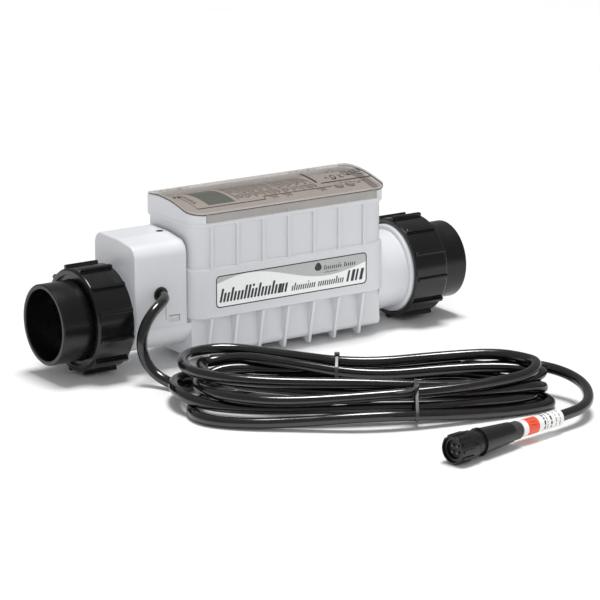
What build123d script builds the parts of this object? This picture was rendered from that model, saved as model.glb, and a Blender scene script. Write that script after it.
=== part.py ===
from build123d import *
import os
from math import copysign, cos, pi, radians, sin, sqrt, tan

os.makedirs("parts", exist_ok=True)

# Salt chlorine generator, millimetres. X runs along the water line (inlet at -X), Y points to
# the back, Z is up. The origin is on the floor, under the middle of the object.

# --- driving dimensions: water line and unions
AX = 46.7                  # height of the water line's axis, and radius over the nut's ribs
REACH = 206.2              # the two outer faces are at X = -REACH and +REACH
SOCKET_R = 30.25           # slip socket for 2 inch pipe, 60.3 mm across
SOCKET_DEPTH = 36.0
TAIL_R = 34.2
TAIL_BORE = 25.5
FLANGE_R = 38.6
NUT_R = 43.7
NUT_IN, NUT_OUT = 61.9, 27.5   # distances of the nut's two ends from the outer face
RIBS_PER_NUT = 12
RIB_WIDTH = 3.4
INLET_RIB_PHASE, OUTLET_RIB_PHASE = 12.0, 4.0
THREAD_R = 39.4
THREAD_START, THREAD_END = 42.9, 60.0
FLOW_R = 24.5

# --- driving dimensions: cell body
BODY_X0, BODY_X1 = -83.7, 112.8
UPPER_Y = 40.2
BAND_Y = 42.0
BAND_TOP = AX + 37.5
WAIST = AX - 6
LEDGE_Z, RIM_Z = AX + 73, AX + 76
RIB_COUNT, RIB_PITCH, RIB_MID_X = 7, 26.0, 11.0
CHAMBER_X0, CHAMBER_X1, CHAMBER_Y = -66.0, 95.0, 25.0
CHAMBER_Z0, CHAMBER_Z1 = AX - 34, AX + 34
SENSOR_X = 90.0
BAY_X0, BAY_X1, BAY_Y, BAY_Z = -79.0, 108.0, 37.0, AX + 40
COVER_EDGE = 7.0           # how far the chamber cover laps over the chamber's edge
CORNER_R = 15.0

# --- driving dimensions: control housing and lid
CREST_Y, CREST_Z = 14.0, AX + 91.4
CREST_FRONT_R, CREST_BACK_R, FRONT_SWEEP_R = 130.0, 80.0, 120.0
FRONT_CREST_ARC, FRONT_SWEEP_ARC, BACK_ARC = 15.2, 15.0, 24.0
BEZEL_X0, BEZEL_X1 = -85.0, 114.3
BEZEL_WALL = 3.6
LID_GAP, LID_THICK = 0.3, 2.4
LID_X0, LID_X1 = -84.6, 115.8
LIP_X0, LIP_X1, LIP_Z = -72.0, 101.6, AX + 76.8
DECK_DROP, DECK_THICK = 4.6, 2.0
HINGE_Y, HINGE_Z, HINGE_R, HINGE_PIN_R = 43.3, AX + 85.5, 2.7, 1.5
HINGE_XS = (-52.0, 81.0)
KNUCKLE, EAR, SIDE_GAP = 14.0, 5.0, 0.4

# --- driving dimensions: electrodes
PLATES, PLATE_PITCH, PLATE_THICK = 13, 3.6, 1.0
PLATE_X0, PLATE_X1, PLATE_Z0, PLATE_Z1 = -50.0, 79.0, AX - 26, AX + 24
ANODE_X, CATHODE_X = -30.0, 59.0

# --- driving dimensions: control board and buttons
BOARD_Z, BOARD_THICK = AX + 58, 1.6
BOARD_POSTS = [(x, y) for x in (-41.0, 78.0) for y in (-25.0, 25.0)]
BUTTON_XS, BUTTON_Y, BUTTON_R = (82.0, 94.0), -13.0, 4.0
BUTTON_TRAVEL = 1.0
LED_XS, LED_Y, LED_R = [-6.0 + 9.0 * i for i in range(8)], 2.0, 1.3
CORNER_SCREWS = [(x, y) for x in (-74.5, 103.5) for y in (-32.5, 32.5)]

# --- driving dimensions: flow switch and its cover
SWITCH_X, SWITCH_BORE, SWITCH_R = -110.0, 8.0, 7.9
PADDLE_Z, PADDLE_PIN_R = AX + 20, 1.0
COVER_X0, COVER_X1, COVER_Y, COVER_WALL = -137.0, -87.0, 33.0, 2.5
COVER_SEAM = AX - 9
COVER_SCREW_X = -92.6
LATCH_X0, LATCH_X1, LATCH_Z0, LATCH_Z1 = -104.5, -93.7, AX - 5.2, AX + 0.2
SLIT_X, SLIT_Z0, SLIT_Z1 = -107.4, AX - 3.4, AX + 8.5
CORD_X, CORD_Z = -112.5, AX + 19.6
GROMMET_R, GROMMET_FLANGE_R = 5.8, 6.6

# --- driving dimensions: cord, its coil and its connector
CORD_R = 4.5
LEAD_ROUTE = [
    (-112.5, -28.0, 66.3), (-112.5, -40.0, 66.3), (-121.0, -50.0, 65.2), (-133.0, -55.5, 60.4),
    (-142.5, -57.5, 51.0), (-147.5, -58.5, 38.5), (-147.0, -60.0, 25.5), (-143.5, -65.0, 14.5),
    (-138.5, -75.0, 7.6), (-134.5, -88.0, 5.2), (-130.5, -101.0, 4.9),
]
TAIL_ROUTE = [
    (76.0, -240.0, 23.0), (96.0, -250.0, 24.0), (112.0, -266.0, 23.0), (118.5, -288.0, 21.0),
    (116.0, -312.0, 18.0), (104.0, -333.0, 14.5), (86.0, -348.0, 12.6), (62.0, -354.0, 12.1),
    (28.2, -360.9, 12.1), (-9.1, -367.86, 12.1),
]
CONNECTOR_FACE = (-67.5, -378.78, 12.1)
CONNECTOR_AXIS = (0.983, 0.184, 0.0)
COIL_SPLIT, COIL_TOP = 18.0, 38.0
COIL_LOW_OUTLINE = [
    (-174, -160), (-166, -208), (-116, -252), (-50, -268), (0, -288), (48, -306), (92, -314),
    (108, -296), (102, -252), (40, -202), (-22, -153), (-74, -92), (-124, -78), (-162, -108),
]
COIL_HIGH_OUTLINE = [
    (-158, -140), (-147, -200), (-112, -237), (-60, -267), (-4, -290), (50, -301), (95, -295),
    (109, -268), (96, -235), (39, -191), (-20, -154), (-56, -104), (-84, -74), (-134, -86),
]
RING_R, RING_LENGTH, RING_RIB_END = 11.2, 21.5, 15.0
NECK_R, NECK_END, SHELL_END, COLLAR_END = 9.5, 29.0, 65.0, 73.5
TAG_START, TAG_END = 76.0, 122.5


# --- plain shapes placed by their limits
def box(x0, x1, y0, y1, z0, z1):
    return Pos((x0 + x1) / 2, (y0 + y1) / 2, (z0 + z1) / 2) * Box(x1 - x0, y1 - y0, z1 - z0)


def rod_x(r, x0, x1, y=0.0, z=AX):
    return Pos((x0 + x1) / 2, y, z) * Rot(0, 90, 0) * Cylinder(r, x1 - x0)


def rod_y(r, y0, y1, x, z):
    return Pos(x, (y0 + y1) / 2, z) * Rot(90, 0, 0) * Cylinder(r, y1 - y0)


def post(r, z0, z1, x, y):
    return Pos(x, y, (z0 + z1) / 2) * Cylinder(r, z1 - z0)


def plan(x0, x1, half_y, r, z0, z1):
    """Upright block with rounded corners in plan, centred on Y = 0."""
    return Pos((x0 + x1) / 2, 0, z0) * extrude(RectangleRounded(x1 - x0, 2 * half_y, r), z1 - z0)


def frame(x0, x1, half_y, r, width, z0, z1):
    """Rounded rectangular loop, such as a gasket, measured on its outside."""
    inner = plan(x0 + width, x1 - width, half_y - width, r - width, z0 - 1, z1 + 1)
    return plan(x0, x1, half_y, r, z0, z1) - inner


def across(points, x0, x1):
    """Outline in the YZ plane, extruded along X."""
    face = make_face(Polyline(*[(y, z) for y, z in points], close=True))
    return Pos(x0, 0, 0) * extrude(Plane.YZ * face, x1 - x0)


def spin_x(profile, side, rounded=None, radius=1.0):
    """Solid of revolution about the water line from (distance in from the outer face, radius) points."""
    points = [(side * (REACH - s), AX + r) for s, r in profile]
    face = make_face(Polyline(*points, close=True))
    if rounded:
        corner = Vector(side * (REACH - rounded[0]), AX + rounded[1], 0)
        face = fillet(face.vertices().sort_by_distance(corner)[0], radius)
    return revolve(Plane.XZ * face, Axis((0, 0, AX), (1, 0, 0)), 360)


def along_x(side, s):
    return side * (REACH - s)


def span_x(side, s0, s1):
    ends = (along_x(side, s0), along_x(side, s1))
    return min(ends), max(ends)


def many(shapes):
    return Compound(children=list(shapes))


def save(name, shape):
    export_step(shape, f"parts/{name}.step")


# --- the ogee that the control housing, deck and lid all follow
def ogee_edges(rise):
    front = JernArc((CREST_Y, CREST_Z + rise), (-1, 0), CREST_FRONT_R + rise, FRONT_CREST_ARC)
    sweep = JernArc(front @ 1, front % 1, FRONT_SWEEP_R - rise, -FRONT_SWEEP_ARC)
    back = JernArc((CREST_Y, CREST_Z + rise), (1, 0), CREST_BACK_R + rise, -BACK_ARC)
    return front, sweep, back


def under_ogee(rise, floor, x0=-120.0, x1=150.0):
    """Everything between a level floor and the ogee moved out by rise."""
    front, sweep, back = ogee_edges(rise)
    tip, tail = sweep @ 1, back @ 1
    foot = Polyline((tip.X, tip.Y), (tip.X, floor), (tail.X, floor), (tail.X, tail.Y))
    face = make_face(Curve() + [front, sweep, back, foot])
    return Pos(x0, 0, 0) * extrude(Plane.YZ * face, x1 - x0)


def ogee_height(y, rise=0.0):
    """Height of the ogee at a distance y from the middle."""
    if y >= CREST_Y:
        r = CREST_BACK_R + rise
        return CREST_Z - CREST_BACK_R + sqrt(r * r - (y - CREST_Y) ** 2)
    turn = CREST_Y - CREST_FRONT_R * sin(radians(FRONT_CREST_ARC))
    if y >= turn:
        r = CREST_FRONT_R + rise
        return CREST_Z - CREST_FRONT_R + sqrt(r * r - (y - CREST_Y) ** 2)
    arc = radians(FRONT_CREST_ARC)
    reach = CREST_FRONT_R + FRONT_SWEEP_R
    centre_y, centre_z = CREST_Y - reach * sin(arc), CREST_Z - CREST_FRONT_R + reach * cos(arc)
    r = FRONT_SWEEP_R - rise
    return centre_z - sqrt(r * r - (y - centre_y) ** 2)


def ogee_slab(top, thick, x0, x1, half_y, r):
    slab = under_ogee(top, RIM_Z - 20) - under_ogee(top - thick, RIM_Z - 21)
    return slab & plan(x0, x1, half_y, r, RIM_Z - 20, CREST_Z + 20)


# --- cell body
def belly(half_top, half_bottom, x0, x1):
    """Lower casing, a little wider at the bottom, with rounded lower corners."""
    floor = AX - 40
    outline = [(-half_top, WAIST + 1), (-half_bottom, floor), (half_bottom, floor), (half_top, WAIST + 1)]
    face = make_face(Polyline(*outline, close=True))
    face = fillet([v for v in face.vertices() if v.Y < floor + 1], 6.0)
    return Pos(x0, 0, 0) * extrude(Plane.YZ * face, x1 - x0)


def fin(x):
    tip, heel, floor = 34.3, 30.5, AX - 44.5
    outline = [(-BAND_Y, WAIST), (-tip, floor), (-heel, floor), (-heel + 3, AX - 42)]
    outline += [(-y, z) for y, z in reversed(outline)]
    return across(outline, x - 1.4, x + 1.4)


def body_ribs():
    xs = [RIB_MID_X + RIB_PITCH * (i - (RIB_COUNT - 1) / 2) for i in range(RIB_COUNT)]
    upper = [box(x - 1.5, x + 1.5, -BAND_Y, BAND_Y, BAND_TOP - 5, LEDGE_Z + 1) for x in xs]
    return upper + [fin(x) for x in xs]


def spigot(side):
    """Threaded end that the union nut screws onto, and the pipe behind it."""
    wall_s = REACH - (BODY_X1 - 2 if side > 0 else -BODY_X0 - 2)
    near, far = (34.5, 35.5) if side > 0 else (31.5, 31.5)
    profile = [(THREAD_START, 0), (THREAD_START, THREAD_R - 1), (THREAD_START + 1, THREAD_R)]
    profile += [(THREAD_END, THREAD_R), (THREAD_END, 38.9), (63.0, 38.9), (64.5, 37.4)]
    if side > 0:
        profile += [(64.5, near), (wall_s, far), (wall_s, 0)]
    else:
        seat = REACH + COVER_X0
        profile += [(64.5, near), (seat, far), (seat, 29.9), (wall_s, 29.9), (wall_s, 0)]
    return spin_x(profile, side)


def oring_groove(side):
    x0, x1 = span_x(side, THREAD_START - 1, THREAD_START + 3.4)
    return rod_x(33.8, x0, x1) - rod_x(30.2, x0 - 1, x1 + 1)


def sleeve():
    """Half round fairing under the pipe that carries on the flow switch cover's sides."""
    face = Ellipse(COVER_Y, COVER_SEAM - AX + COVER_Y) & Pos(0, -COVER_Y) * Rectangle(2 * COVER_Y, 2 * COVER_Y)
    return Pos(COVER_X0, 0, COVER_SEAM) * extrude(Plane.YZ * face, BODY_X0 + 2 - COVER_X0)


def body_posts():
    corners = [post(4.6, BAY_Z - 1, RIM_Z, x, y) for x, y in CORNER_SCREWS]
    switch = post(12.0, AX + 20, BAY_Z, SWITCH_X, 0)
    screw = post(2.8, AX + 20, AX + 60, COVER_SCREW_X, 0)
    return corners, [switch, screw]


def chamber_screw_places():
    xs = [CHAMBER_X0 + 6 + 37.25 * i for i in range(5)]
    return [(x, y) for x in xs for y in (-CHAMBER_Y - 5.2, CHAMBER_Y + 5.2)]


def cell_body():
    band = plan(-85.5, 114.8, BAND_Y, 15.8, WAIST, BAND_TOP)
    band = fillet(band.faces().sort_by(Axis.Z)[-1].edges(), 2.4)
    band = fillet(band.faces().sort_by(Axis.Z)[0].edges(), 1.2)
    body = plan(BODY_X0, BODY_X1, UPPER_Y, 14.5, WAIST, LEDGE_Z + 1) + band
    body += plan(-85.0, 114.3, BAND_Y, CORNER_R, LEDGE_Z, RIM_Z)
    body += belly(31.5, 34.5, BODY_X0 + 1.5, 111.3)
    body += [*body_ribs(), spigot(-1), spigot(1), sleeve()]
    corners, outside = body_posts()
    body += outside
    body -= plan(BAY_X0, BAY_X1, BAY_Y, 10, BAY_Z, RIM_Z + 1)
    body -= plan(CHAMBER_X0 - COVER_EDGE, CHAMBER_X1 + COVER_EDGE, CHAMBER_Y + COVER_EDGE, 9,
                 CHAMBER_Z1, BAY_Z + 1)
    body -= plan(CHAMBER_X0, CHAMBER_X1, CHAMBER_Y, 4, CHAMBER_Z0, CHAMBER_Z1 + 1)
    body += corners
    body -= [rod_x(FLOW_R, -REACH, CHAMBER_X0 + 1), rod_x(FLOW_R, CHAMBER_X1 - 1, REACH)]
    body -= [oring_groove(-1), oring_groove(1), chamber_gasket(), bezel_gasket(), oring_seat()]
    body -= post(SWITCH_BORE, AX + 10, BAY_Z + 1, SWITCH_X, 0)
    body -= [post(1.25, RIM_Z - 14, RIM_Z + 1, x, y) for x, y in CORNER_SCREWS]
    body -= post(1.5, AX + 44, AX + 61, COVER_SCREW_X, 0)
    body -= [post(1.3, AX + 24, CHAMBER_Z1 + 1, x, y) for x, y in chamber_screw_places()]
    return body


def bezel_gasket():
    return frame(-82.9, 112.2, 39.9, 12.9, 1.4, RIM_Z - 1.2, RIM_Z)


def chamber_gasket():
    out = 3.4
    return frame(CHAMBER_X0 - out, CHAMBER_X1 + out, CHAMBER_Y + out, 4 + out, 1.6,
                 CHAMBER_Z1 - 1.5, CHAMBER_Z1)


def oring_seat():
    """Recess for the flow switch's seal, round the mouth of its boss."""
    return post(10.6, BAY_Z - 1.8, BAY_Z, SWITCH_X, 0) - post(8.9, BAY_Z - 2, BAY_Z + 1, SWITCH_X, 0)


# --- unions
def tailpiece(side):
    profile = [(0, SOCKET_R + 0.6), (0, TAIL_R - 0.8), (0.8, TAIL_R), (34.2, TAIL_R), (34.2, FLANGE_R)]
    profile += [(39.5, FLANGE_R), (39.5, 36.0), (42.5, 36.0), (42.5, TAIL_BORE)]
    profile += [(SOCKET_DEPTH, TAIL_BORE), (SOCKET_DEPTH, SOCKET_R), (0.6, SOCKET_R)]
    return spin_x(profile, side)


def union_nut(side, phase):
    profile = [(NUT_IN, 40.0), (NUT_IN, NUT_R - 0.8), (NUT_IN - 0.8, NUT_R), (NUT_OUT, NUT_R)]
    profile += [(NUT_OUT, 38.5), (30.0, 38.5), (30.0, 34.6), (33.9, 34.6), (33.9, 40.0)]
    nut = spin_x(profile, side, rounded=(NUT_OUT, NUT_R), radius=2.5)
    x0, x1 = span_x(side, 29.5, 60.4)
    rib = box(x0, x1, -RIB_WIDTH / 2, RIB_WIDTH / 2, NUT_R - 1.5, AX)
    rib = fillet(rib.faces().sort_by(Axis.Z)[-1].edges(), 0.8)
    step = 360 / RIBS_PER_NUT
    for i in range(RIBS_PER_NUT):
        nut += Pos(0, 0, AX) * Rot(phase + step * i, 0, 0) * rib
    return nut


def oring(side):
    x = along_x(side, THREAD_START + 1.7)
    return Pos(x, 0, AX) * Rot(0, 90, 0) * Torus(32.0, 1.65)


# --- electrodes
def plate_ys(kind):
    return [(i - (PLATES - 1) / 2) * PLATE_PITCH for i in range(PLATES) if i % 2 == kind]


def electrode_plates():
    plates = []
    for kind, tab_x in ((0, ANODE_X), (1, CATHODE_X)):
        for y in plate_ys(kind):
            y0, y1 = y - PLATE_THICK / 2, y + PLATE_THICK / 2
            blade = box(PLATE_X0, PLATE_X1, y0, y1, PLATE_Z0, PLATE_Z1)
            plates.append(blade + box(tab_x - 6, tab_x + 6, y0, y1, PLATE_Z1 - 1, PLATE_Z1 + 4))
    return many(plates)


def plate_comb(x0, x1, mouth_x0, mouth_x1):
    """Moulded end frame with a slot for each plate and a window that lets the water through."""
    comb = box(x0, x1, -CHAMBER_Y, CHAMBER_Y, CHAMBER_Z0, PLATE_Z1 + 4)
    comb -= box(x0 - 1, x1 + 1, -23.2, 23.2, AX - 21, AX + 17)
    comb &= plan(CHAMBER_X0, CHAMBER_X1, CHAMBER_Y, 4, CHAMBER_Z0, CHAMBER_Z1)
    for y in plate_ys(0) + plate_ys(1):
        comb -= box(mouth_x0, mouth_x1, y - PLATE_THICK / 2, y + PLATE_THICK / 2, PLATE_Z0, PLATE_Z1)
    return comb


def bus_bar(x):
    bar = box(x - 6, x + 6, -23.0, 23.0, PLATE_Z1 + 4, PLATE_Z1 + 6.5)
    return fillet(bar.edges().filter_by(Axis.Z), 2.0)


def terminal_studs():
    studs = []
    for x in (ANODE_X, CATHODE_X):
        studs.append(post(5.0, PLATE_Z1 + 6.5, CHAMBER_Z1, x, 0) + post(3.0, CHAMBER_Z1, BAY_Z + 12, x, 0))
    return many(studs)


def hex_nut(r_in, across_flats, z0, z1, x, y):
    face = RegularPolygon(across_flats / 2, 6, major_radius=False)
    return Pos(x, y, z0) * extrude(face, z1 - z0) - post(r_in, z0 - 1, z1 + 1, x, y)


def chamber_cover():
    cover = plan(CHAMBER_X0 - COVER_EDGE + 0.2, CHAMBER_X1 + COVER_EDGE - 0.2,
                 CHAMBER_Y + COVER_EDGE - 0.2, 8.8, CHAMBER_Z1, BAY_Z)
    cover += [post(3.4, BAY_Z - 1, BOARD_Z, x, y) for x, y in BOARD_POSTS]
    cover -= [post(1.55, CHAMBER_Z1 - 1, BAY_Z + 1, x, y) for x, y in chamber_screw_places()]
    cover -= [post(3.0, CHAMBER_Z1 - 1, BAY_Z + 1, x, 0) for x in (ANODE_X, CATHODE_X)]
    cover -= [post(1.1, BOARD_Z - 9, BOARD_Z + 1, x, y) for x, y in BOARD_POSTS]
    cover -= post(3.2, CHAMBER_Z1 - 1, BAY_Z + 1, SENSOR_X, 0)
    return cover


def screw(r, z_tip, z_head, head_r, head_h, x, y):
    """Pan head screw, head upwards, with a cross slot."""
    head = post(head_r, z_head, z_head + head_h, x, y)
    head = fillet(head.faces().sort_by(Axis.Z)[-1].edges(), head_h * 0.4)
    cross = [box(x - head_r * 0.6, x + head_r * 0.6, y - 0.3, y + 0.3, z_head + head_h * 0.5, z_head + 9)]
    cross += [box(x - 0.3, x + 0.3, y - head_r * 0.6, y + head_r * 0.6, z_head + head_h * 0.5, z_head + 9)]
    return post(r, z_tip, z_head, x, y) + head - cross


def water_sensor():
    x = SENSOR_X
    probe = post(3.2, CHAMBER_Z1 - 20, BAY_Z, x, 0)
    probe = fillet(probe.faces().sort_by(Axis.Z)[0].edges(), 2.0)
    return probe + hex_nut(0.8, 11.0, BAY_Z, BAY_Z + 5, x, 0) + post(2.4, BAY_Z + 4, BAY_Z + 9, x, 0)


# --- control board
def control_board():
    board = plan(-63.0, 91.0, 30.0, 3.0, BOARD_Z, BOARD_Z + BOARD_THICK)
    return board - [post(1.3, BOARD_Z - 1, BOARD_Z + 3, x, y) for x, y in BOARD_POSTS]


def board_components():
    top = BOARD_Z + BOARD_THICK
    relay = [box(x, x + 12, 8.0, 26.0, top, top + 11) for x in (-34.0, -18.0)]
    chips = [box(x, x + 12, -8.0, 0.0, top, top + 2.2) for x in (-46.0, -22.0)]
    caps = [post(4.0, top, top + 12, x, 16.0) for x in (0.0, 10.0, 20.0)]
    choke = [box(30.0, 50.0, 8.0, 26.0, top, top + 12)]
    header = [box(-34.0, -10.0, -27.0, -19.0, top, top + 8)]
    return many(relay + chips + caps + choke + header)


def button_switches():
    top = BOARD_Z + BOARD_THICK
    switches = []
    for x in BUTTON_XS:
        case = box(x - 3, x + 3, BUTTON_Y - 3, BUTTON_Y + 3, top, top + 3.5)
        switches.append(case + post(1.6, top + 3, top + 4.3, x, BUTTON_Y))
    return many(switches)


def led_lenses():
    """Light pipes from the board's lamps up to the front panel."""
    return many(post(LED_R, BOARD_Z + BOARD_THICK, ogee_height(LED_Y, -DECK_DROP) + 0.5, x, LED_Y)
                for x in LED_XS)


def button(x):
    top = ogee_height(BUTTON_Y, -DECK_DROP)
    under = top - DECK_THICK - 1.0
    cap = post(BUTTON_R, under - 0.8, top + 1.9, x, BUTTON_Y)
    cap = fillet(cap.faces().sort_by(Axis.Z)[-1].edges(), 0.7)
    flange = post(BUTTON_R + 1.3, under - 2.4, under - 0.8, x, BUTTON_Y)
    stem_foot = BOARD_Z + BOARD_THICK + 4.3 + BUTTON_TRAVEL + 0.35
    return cap + flange + post(1.8, stem_foot, under - 2, x, BUTTON_Y)


# --- control housing, deck and lid
def hinge_holes(r):
    return [rod_x(r, x - 20, x + 20, HINGE_Y, HINGE_Z) for x in HINGE_XS]


def ears():
    """Pairs of hinge ears at the back edge, one pair at each hinge station."""
    solids = []
    for x in HINGE_XS:
        for x0 in (x - KNUCKLE / 2 - SIDE_GAP - EAR, x + KNUCKLE / 2 + SIDE_GAP):
            round_end = rod_x(HINGE_R, x0, x0 + EAR, HINGE_Y, HINGE_Z)
            foot = [(BAND_Y - 1, HINGE_Z - 9), (HINGE_Y + HINGE_R - 0.6, HINGE_Z - 1.2)]
            foot += [(HINGE_Y, HINGE_Z), (BAND_Y - 2, HINGE_Z)]
            solids += [round_end, across(foot, x0, x0 + EAR)]
    return solids


def control_bezel():
    outline = plan(BEZEL_X0, BEZEL_X1, BAND_Y, CORNER_R, RIM_Z, CREST_Z + 5)
    shell = outline & under_ogee(0, RIM_Z)
    w = BEZEL_WALL
    pocket = plan(BEZEL_X0 + w, BEZEL_X1 - w, BAND_Y - w, CORNER_R - w, RIM_Z - 1, CREST_Z + 5)
    ledge = plan(BEZEL_X0 + w + 3, BEZEL_X1 - w - 3, BAND_Y - w - 3, CORNER_R - w - 3, RIM_Z - 1, CREST_Z)
    pads = [post(5.2, RIM_Z, CREST_Z, x, y) for x, y in CORNER_SCREWS]
    under_deck = under_ogee(-DECK_DROP - DECK_THICK, RIM_Z)
    seat = ((pocket - ledge) + pads) & pocket & under_deck
    bezel = (shell - pocket) + seat
    bezel -= box(LIP_X0 - SIDE_GAP, LIP_X1 + SIDE_GAP, -BAND_Y - 1, -BAND_Y + 2.6, LIP_Z - 0.4, CREST_Z)
    for x in HINGE_XS:
        half = KNUCKLE / 2 + SIDE_GAP
        bezel -= box(x - half, x + half, HINGE_Y - 3.4, BAND_Y + 1, HINGE_Z - 3.4, CREST_Z)
    bezel += ears()
    bezel -= hinge_holes(HINGE_PIN_R)
    return bezel - [post(1.7, RIM_Z - 1, CREST_Z, x, y) for x, y in CORNER_SCREWS]


def panel_holes(button_gap, led_gap, screw_gap):
    low, high = RIM_Z - 5, CREST_Z + 5
    holes = [post(BUTTON_R + button_gap, low, high, x, BUTTON_Y) for x in BUTTON_XS]
    holes += [post(LED_R + led_gap, low, high, x, LED_Y) for x in LED_XS]
    return holes + [post(screw_gap, low, high, x, y) for x, y in CORNER_SCREWS]


def control_deck():
    w = BEZEL_WALL + 0.1
    deck = ogee_slab(-DECK_DROP, DECK_THICK, BEZEL_X0 + w, BEZEL_X1 - w, BAND_Y - w, CORNER_R - w)
    return deck - panel_holes(0.35, 0.05, 1.7)


def panel_overlay():
    w = BEZEL_WALL + 2.0
    film = ogee_slab(-DECK_DROP + 0.3, 0.3, BEZEL_X0 + w, BEZEL_X1 - w, BAND_Y - w, CORNER_R - w)
    return film - panel_holes(0.5, 0.1, 3.6)


def deck_screws():
    return many(screw(1.25, RIM_Z - 12, ogee_height(y, -DECK_DROP) + 0.75, 2.9, 1.5, x, y)
                for x, y in CORNER_SCREWS)


def screw_washers():
    """Sloped seats that let the screws' flat heads bear on the curved deck."""
    seats = [post(3.4, RIM_Z, ogee_height(y, -DECK_DROP) + 0.75, x, y) for x, y in CORNER_SCREWS]
    above_deck = many(seats) - under_ogee(-DECK_DROP, RIM_Z - 5)
    return above_deck - [post(1.5, RIM_Z - 1, CREST_Z, x, y) for x, y in CORNER_SCREWS]


def lid():
    top = LID_GAP + LID_THICK
    shell = ogee_slab(top, LID_THICK, LID_X0, LID_X1, BAND_Y - 0.1, CORNER_R)
    lip = box(LIP_X0, LIP_X1, -BAND_Y + 0.1, -BAND_Y + 2.2, LIP_Z, AX + 85)
    lip &= under_ogee(top - 0.2, RIM_Z)
    lip -= box(-5.0, 9.0, -BAND_Y - 1, -BAND_Y + 1.0, LIP_Z - 1, LIP_Z + 2.4)
    shell += lip
    for x in HINGE_XS:
        half = KNUCKLE / 2 + SIDE_GAP
        for x0 in (x - half - EAR - SIDE_GAP, x + half - SIDE_GAP):
            shell -= box(x0, x0 + EAR + 2 * SIDE_GAP, HINGE_Y - 3.4, BAND_Y + 9, AX + 80, CREST_Z + 9)
        shell += rod_x(HINGE_R, x - KNUCKLE / 2, x + KNUCKLE / 2, HINGE_Y, HINGE_Z)
    return shell - hinge_holes(HINGE_PIN_R + 0.06)


def lid_hinge_pins():
    half = KNUCKLE / 2 + SIDE_GAP + EAR
    return many(rod_x(HINGE_PIN_R, x - half, x + half, HINGE_Y, HINGE_Z) for x in HINGE_XS)


def front_label():
    plate = RectangleRounded(155.2, 28.3, 4.0)
    return Plane(origin=(13.7, -BAND_Y, AX + 16.15), x_dir=(1, 0, 0), z_dir=(0, -1, 0)) * extrude(plate, 0.4)


# --- flow switch and its cover
def cover_outline(inset):
    """Front to back section: upright sides and a crowned top, moved in by inset."""
    side, low = COVER_Y - inset, COVER_SEAM - (1 if inset else 0)
    points = [(-side, low), (-side, AX + 61.0 - inset), (-5, AX + 65.0 - inset)]
    points += [(side, AX + 65.6 - inset), (side, low)]
    face = make_face(Polyline(*points, close=True))
    corners = [v for v in face.vertices() if v.Y > AX and abs(v.X) > COVER_Y / 2]
    return fillet(corners, 11.0 - inset)


def flow_switch_cover():
    w = COVER_WALL
    shell = Pos(COVER_X0, 0, 0) * extrude(Plane.YZ * cover_outline(0), COVER_X1 - COVER_X0)
    outer_end = shell.faces().sort_by(Axis.X)[0]
    upper_edges = [e for e in outer_end.edges() if e.center().Z > AX]
    shell = fillet(upper_edges, 1.5)
    hollow = Pos(COVER_X0 + w, 0, 0) * extrude(Plane.YZ * cover_outline(w), COVER_X1 - COVER_X0 - 2 * w)
    shell -= [hollow, rod_x(30.2, COVER_X0 - 1, COVER_X1 + 1)]
    shell -= rod_y(GROMMET_R + 0.1, -COVER_Y - 1, -COVER_Y + 4, CORD_X, CORD_Z)
    shell -= post(3.3, AX + 63.9, AX + 70, COVER_SCREW_X, 0)
    shell -= box(SLIT_X - 0.4, SLIT_X + 0.4, -COVER_Y - 1, -COVER_Y + 0.8, SLIT_Z0, SLIT_Z1)
    shell -= box(LATCH_X0, LATCH_X1, -COVER_Y - 1, -COVER_Y + 3, LATCH_Z0, LATCH_Z1)
    return shell - post(1.8, AX + 55, AX + 70, COVER_SCREW_X, 0)


def flow_switch_body():
    """Plug with the reed switch's pocket and the fork that holds the paddle."""
    plug = post(SWITCH_R, AX + 17, BAY_Z + 1, SWITCH_X, 0)
    plug += post(11.0, BAY_Z, BAY_Z + 5, SWITCH_X, 0)
    plug += post(4.0, BAY_Z + 4, BAY_Z + 10, SWITCH_X, 0)
    plug -= box(SWITCH_X - 12, SWITCH_X + 12, -1.7, 1.7, AX + 16, AX + 23.5)
    plug -= rod_y(PADDLE_PIN_R, -12, 12, SWITCH_X, PADDLE_Z)
    return plug - post(1.3, AX + 25, AX + 38, SWITCH_X + 3.5, 0)


def flow_paddle():
    arm = box(SWITCH_X - 3.0, SWITCH_X + 3.0, -1.45, 1.45, AX - 8, PADDLE_Z)
    arm += rod_y(3.0, -1.45, 1.45, SWITCH_X, PADDLE_Z)
    blade = box(SWITCH_X - 1.0, SWITCH_X + 1.0, -6.5, 6.5, AX - 12, AX + 6)
    arm += fillet(blade.edges().filter_by(Axis.X), 3.0)
    arm -= rod_y(PADDLE_PIN_R + 0.06, -3, 3, SWITCH_X, PADDLE_Z)
    return arm - rod_y(1.5, -3, 3, SWITCH_X, PADDLE_Z - 7)


def cable_grommet():
    flange = rod_y(GROMMET_FLANGE_R, -COVER_Y - 0.8, -COVER_Y, CORD_X, CORD_Z)
    neck = rod_y(GROMMET_R, -COVER_Y, -COVER_Y + 4.5, CORD_X, CORD_Z)
    return flange + neck - rod_y(CORD_R, -COVER_Y - 3, -COVER_Y + 6, CORD_X, CORD_Z)


# --- cord, coil and connector
def cord_tube(name, route):
    """Round tube along straight runs joined by tangent arcs."""
    points = [Vector(*p) for p in route]
    runs = [(b - a).length for a, b in zip(points, points[1:])]
    radii = []
    for i in range(1, len(points) - 1):
        turn = radians((points[i] - points[i - 1]).get_angle(points[i + 1] - points[i]))
        radii.append(0.45 * min(runs[i - 1], runs[i]) / tan(turn / 2))
    print(name, "radii", [round(r) for r in radii], "length", round(sum(runs)))
    path = FilletPolyline(*points, radius=radii)
    start = Plane(origin=path @ 0, z_dir=path % 0)
    tube = sweep(start * Circle(CORD_R), path=path)
    print(name, "volume over section times length", round(tube.volume / (pi * CORD_R**2 * path.length), 4))
    return tube


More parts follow.
